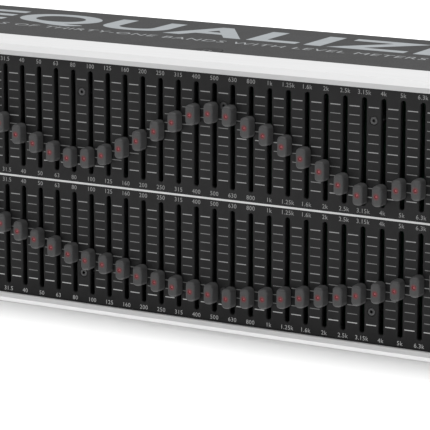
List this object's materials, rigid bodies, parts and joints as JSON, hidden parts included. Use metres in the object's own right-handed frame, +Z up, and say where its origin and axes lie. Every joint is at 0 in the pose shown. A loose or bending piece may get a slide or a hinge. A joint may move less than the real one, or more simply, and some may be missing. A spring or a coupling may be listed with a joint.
{
  "type": "graphic equalizer",
  "caption": "Rack-mount stereo graphic equalizer: rows of lit slide faders on a black fascia in a silver frame, with gain knobs, push buttons and a shallow dark steel case.",
  "frame": {"origin": "centre of the bounding box's bottom face, on the surface that the case stands on", "axes": "+X to the right along the front panel as its user sees it, +Y from the front panel to the rear sockets, +Z up"},
  "size_m": [0.4826, 0.135, 0.1325],
  "materials": {
    "silver_frame": "satin silver",
    "black_fascia": "matt black paint with a fine grain",
    "dark_cover": "dark grey textured paint",
    "dark_steel": "dark grey textured paint",
    "fader_cap": "soft-touch dark grey",
    "dark_knob": "fine matt",
    "green_board": "solder mask",
    "transformer_core": "varnished laminations",
    "black_connector": "moulded black",
    "dark_lens": "smoked, polished"
  },
  "bodies": {
    "case": {"front_frame": "silver_frame", "fascia_panel": "black_fascia", "chassis_tray": "dark_steel", "top_cover": "dark_cover", "rear_panel": "dark_steel", "main_board": "green_board", "power_transformer": "transformer_core", "connector_board": "black_connector", "mains_inlet": "black_connector", "upper_channel_board": "green_board", "lower_channel_board": "green_board", "upper_meter_window": "dark_lens", "lower_meter_window": "dark_lens"},
    "power_button": {"power_button": "dark_knob"},
    "upper_gain_knob": {"upper_gain_knob": "dark_knob"},
    "upper_eq_button": {"upper_eq_button": "dark_knob"},
    "upper_detect_button": {"upper_detect_button": "dark_knob"},
    "upper_fader_50": {"upper_fader_50": "fader_cap"},
    "upper_fader_63": {"upper_fader_63": "fader_cap"},
    "upper_fader_80": {"upper_fader_80": "fader_cap"},
    "upper_fader_100": {"upper_fader_100": "fader_cap"},
    "upper_fader_125": {"upper_fader_125": "fader_cap"},
    "upper_fader_160": {"upper_fader_160": "fader_cap"},
    "upper_fader_200": {"upper_fader_200": "fader_cap"},
    "upper_fader_250": {"upper_fader_250": "fader_cap"},
    "upper_fader_315": {"upper_fader_315": "fader_cap"},
    "upper_fader_400": {"upper_fader_400": "fader_cap"},
    "upper_fader_500": {"upper_fader_500": "fader_cap"},
    "upper_fader_630": {"upper_fader_630": "fader_cap"},
    "upper_fader_800": {"upper_fader_800": "fader_cap"},
    "upper_fader_1k": {"upper_fader_1k": "fader_cap"},
    "upper_fader_1_25k": {"upper_fader_1_25k": "fader_cap"},
    "upper_fader_1_6k": {"upper_fader_1_6k": "fader_cap"},
    "upper_fader_2k": {"upper_fader_2k": "fader_cap"},
    "upper_fader_2_5k": {"upper_fader_2_5k": "fader_cap"},
    "upper_fader_3_15k": {"upper_fader_3_15k": "fader_cap"},
    "upper_fader_4k": {"upper_fader_4k": "fader_cap"},
    "lower_gain_knob": {"lower_gain_knob": "dark_knob"},
    "lower_eq_button": {"lower_eq_button": "dark_knob"},
    "lower_detect_button": {"lower_detect_button": "dark_knob"},
    "lower_fader_50": {"lower_fader_50": "fader_cap"},
    "lower_fader_63": {"lower_fader_63": "fader_cap"},
    "lower_fader_80": {"lower_fader_80": "fader_cap"},
    "lower_fader_100": {"lower_fader_100": "fader_cap"},
    "lower_fader_125": {"lower_fader_125": "fader_cap"},
    "lower_fader_160": {"lower_fader_160": "fader_cap"},
    "lower_fader_200": {"lower_fader_200": "fader_cap"},
    "lower_fader_250": {"lower_fader_250": "fader_cap"},
    "lower_fader_315": {"lower_fader_315": "fader_cap"},
    "lower_fader_400": {"lower_fader_400": "fader_cap"},
    "lower_fader_500": {"lower_fader_500": "fader_cap"},
    "lower_fader_630": {"lower_fader_630": "fader_cap"},
    "lower_fader_800": {"lower_fader_800": "fader_cap"},
    "lower_fader_1k": {"lower_fader_1k": "fader_cap"},
    "lower_fader_1_25k": {"lower_fader_1_25k": "fader_cap"},
    "lower_fader_1_6k": {"lower_fader_1_6k": "fader_cap"},
    "lower_fader_2k": {"lower_fader_2k": "fader_cap"},
    "lower_fader_2_5k": {"lower_fader_2_5k": "fader_cap"},
    "lower_fader_3_15k": {"lower_fader_3_15k": "fader_cap"},
    "lower_fader_4k": {"lower_fader_4k": "fader_cap"}
  },
  "joints": [
    {"name": "power_button_press", "type": "slide", "parent": "case", "child": "power_button", "axis": [0, 1, 0], "range_m": [0, 0.0025], "stiffness_N_per_m": 600, "springref_m": -0.002},
    {"name": "upper_gain_knob_turn", "type": "hinge", "parent": "case", "child": "upper_gain_knob", "pos_m": [-0.163, -0.0545, 0.106], "axis": [0, 1, 0], "range_deg": [-150, 150]},
    {"name": "upper_eq_button_press", "type": "slide", "parent": "case", "child": "upper_eq_button", "axis": [0, 1, 0], "range_m": [0, 0.002], "stiffness_N_per_m": 400, "springref_m": -0.002},
    {"name": "upper_detect_button_press", "type": "slide", "parent": "case", "child": "upper_detect_button", "axis": [0, 1, 0], "range_m": [0, 0.002], "stiffness_N_per_m": 400, "springref_m": -0.002},
    {"name": "upper_fader_50_slide", "type": "slide", "parent": "case", "child": "upper_fader_50", "axis": [0, 0, 1], "range_m": [-0.01042, 0.03458]},
    {"name": "upper_fader_63_slide", "type": "slide", "parent": "case", "child": "upper_fader_63", "axis": [0, 0, 1], "range_m": [-0.00686, 0.03814]},
    {"name": "upper_fader_80_slide", "type": "slide", "parent": "case", "child": "upper_fader_80", "axis": [0, 0, 1], "range_m": [-0.00491, 0.04009]},
    {"name": "upper_fader_100_slide", "type": "slide", "parent": "case", "child": "upper_fader_100", "axis": [0, 0, 1], "range_m": [-0.00562, 0.03938]},
    {"name": "upper_fader_125_slide", "type": "slide", "parent": "case", "child": "upper_fader_125", "axis": [0, 0, 1], "range_m": [-0.00811, 0.03689]},
    {"name": "upper_fader_160_slide", "type": "slide", "parent": "case", "child": "upper_fader_160", "axis": [0, 0, 1], "range_m": [-0.01237, 0.03263]},
    {"name": "upper_fader_200_slide", "type": "slide", "parent": "case", "child": "upper_fader_200", "axis": [0, 0, 1], "range_m": [-0.01717, 0.02783]},
    {"name": "upper_fader_250_slide", "type": "slide", "parent": "case", "child": "upper_fader_250", "axis": [0, 0, 1], "range_m": [-0.02286, 0.02214]},
    {"name": "upper_fader_315_slide", "type": "slide", "parent": "case", "child": "upper_fader_315", "axis": [0, 0, 1], "range_m": [-0.02819, 0.01681]},
    {"name": "upper_fader_400_slide", "type": "slide", "parent": "case", "child": "upper_fader_400", "axis": [0, 0, 1], "range_m": [-0.03263, 0.01237]},
    {"name": "upper_fader_500_slide", "type": "slide", "parent": "case", "child": "upper_fader_500", "axis": [0, 0, 1], "range_m": [-0.03423, 0.01077]},
    {"name": "upper_fader_630_slide", "type": "slide", "parent": "case", "child": "upper_fader_630", "axis": [0, 0, 1], "range_m": [-0.0337, 0.0113]},
    {"name": "upper_fader_800_slide", "type": "slide", "parent": "case", "child": "upper_fader_800", "axis": [0, 0, 1], "range_m": [-0.02908, 0.01592]},
    {"name": "upper_fader_1k_slide", "type": "slide", "parent": "case", "child": "upper_fader_1k", "axis": [0, 0, 1], "range_m": [-0.02623, 0.01877]},
    {"name": "upper_fader_1_25k_slide", "type": "slide", "parent": "case", "child": "upper_fader_1_25k", "axis": [0, 0, 1], "range_m": [-0.02197, 0.02303]},
    {"name": "upper_fader_1_6k_slide", "type": "slide", "parent": "case", "child": "upper_fader_1_6k", "axis": [0, 0, 1], "range_m": [-0.01717, 0.02783]},
    {"name": "upper_fader_2k_slide", "type": "slide", "parent": "case", "child": "upper_fader_2k", "axis": [0, 0, 1], "range_m": [-0.01202, 0.03298]},
    {"name": "upper_fader_2_5k_slide", "type": "slide", "parent": "case", "child": "upper_fader_2_5k", "axis": [0, 0, 1], "range_m": [-0.00668, 0.03832]},
    {"name": "upper_fader_3_15k_slide", "type": "slide", "parent": "case", "child": "upper_fader_3_15k", "axis": [0, 0, 1], "range_m": [-0.00277, 0.04223]},
    {"name": "upper_fader_4k_slide", "type": "slide", "parent": "case", "child": "upper_fader_4k", "axis": [0, 0, 1], "range_m": [-0.00313, 0.04187]},
    {"name": "lower_gain_knob_turn", "type": "hinge", "parent": "case", "child": "lower_gain_knob", "pos_m": [-0.163, -0.0545, 0.0445], "axis": [0, 1, 0], "range_deg": [-150, 150]},
    {"name": "lower_eq_button_press", "type": "slide", "parent": "case", "child": "lower_eq_button", "axis": [0, 1, 0], "range_m": [0, 0.002], "stiffness_N_per_m": 400, "springref_m": -0.002},
    {"name": "lower_detect_button_press", "type": "slide", "parent": "case", "child": "lower_detect_button", "axis": [0, 1, 0], "range_m": [0, 0.002], "stiffness_N_per_m": 400, "springref_m": -0.002},
    {"name": "lower_fader_50_slide", "type": "slide", "parent": "case", "child": "lower_fader_50", "axis": [0, 0, 1], "range_m": [-0.02303, 0.02197]},
    {"name": "lower_fader_63_slide", "type": "slide", "parent": "case", "child": "lower_fader_63", "axis": [0, 0, 1], "range_m": [-0.02001, 0.02499]},
    {"name": "lower_fader_80_slide", "type": "slide", "parent": "case", "child": "lower_fader_80", "axis": [0, 0, 1], "range_m": [-0.0177, 0.0273]},
    {"name": "lower_fader_100_slide", "type": "slide", "parent": "case", "child": "lower_fader_100", "axis": [0, 0, 1], "range_m": [-0.01557, 0.02943]},
    {"name": "lower_fader_125_slide", "type": "slide", "parent": "case", "child": "lower_fader_125", "axis": [0, 0, 1], "range_m": [-0.01468, 0.03032]},
    {"name": "lower_fader_160_slide", "type": "slide", "parent": "case", "child": "lower_fader_160", "axis": [0, 0, 1], "range_m": [-0.01308, 0.03192]},
    {"name": "lower_fader_200_slide", "type": "slide", "parent": "case", "child": "lower_fader_200", "axis": [0, 0, 1], "range_m": [-0.01113, 0.03387]},
    {"name": "lower_fader_250_slide", "type": "slide", "parent": "case", "child": "lower_fader_250", "axis": [0, 0, 1], "range_m": [-0.00935, 0.03565]},
    {"name": "lower_fader_315_slide", "type": "slide", "parent": "case", "child": "lower_fader_315", "axis": [0, 0, 1], "range_m": [-0.00811, 0.03689]},
    {"name": "lower_fader_400_slide", "type": "slide", "parent": "case", "child": "lower_fader_400", "axis": [0, 0, 1], "range_m": [-0.00704, 0.03796]},
    {"name": "lower_fader_500_slide", "type": "slide", "parent": "case", "child": "lower_fader_500", "axis": [0, 0, 1], "range_m": [-0.00686, 0.03814]},
    {"name": "lower_fader_630_slide", "type": "slide", "parent": "case", "child": "lower_fader_630", "axis": [0, 0, 1], "range_m": [-0.0058, 0.0392]},
    {"name": "lower_fader_800_slide", "type": "slide", "parent": "case", "child": "lower_fader_800", "axis": [0, 0, 1], "range_m": [-0.00704, 0.03796]},
    {"name": "lower_fader_1k_slide", "type": "slide", "parent": "case", "child": "lower_fader_1k", "axis": [0, 0, 1], "range_m": [-0.00811, 0.03689]},
    {"name": "lower_fader_1_25k_slide", "type": "slide", "parent": "case", "child": "lower_fader_1_25k", "axis": [0, 0, 1], "range_m": [-0.00953, 0.03547]},
    {"name": "lower_fader_1_6k_slide", "type": "slide", "parent": "case", "child": "lower_fader_1_6k", "axis": [0, 0, 1], "range_m": [-0.01113, 0.03387]},
    {"name": "lower_fader_2k_slide", "type": "slide", "parent": "case", "child": "lower_fader_2k", "axis": [0, 0, 1], "range_m": [-0.01273, 0.03227]},
    {"name": "lower_fader_2_5k_slide", "type": "slide", "parent": "case", "child": "lower_fader_2_5k", "axis": [0, 0, 1], "range_m": [-0.01415, 0.03085]},
    {"name": "lower_fader_3_15k_slide", "type": "slide", "parent": "case", "child": "lower_fader_3_15k", "axis": [0, 0, 1], "range_m": [-0.0161, 0.0289]},
    {"name": "lower_fader_4k_slide", "type": "slide", "parent": "case", "child": "lower_fader_4k", "axis": [0, 0, 1], "range_m": [-0.01823, 0.02677]}
  ]
}
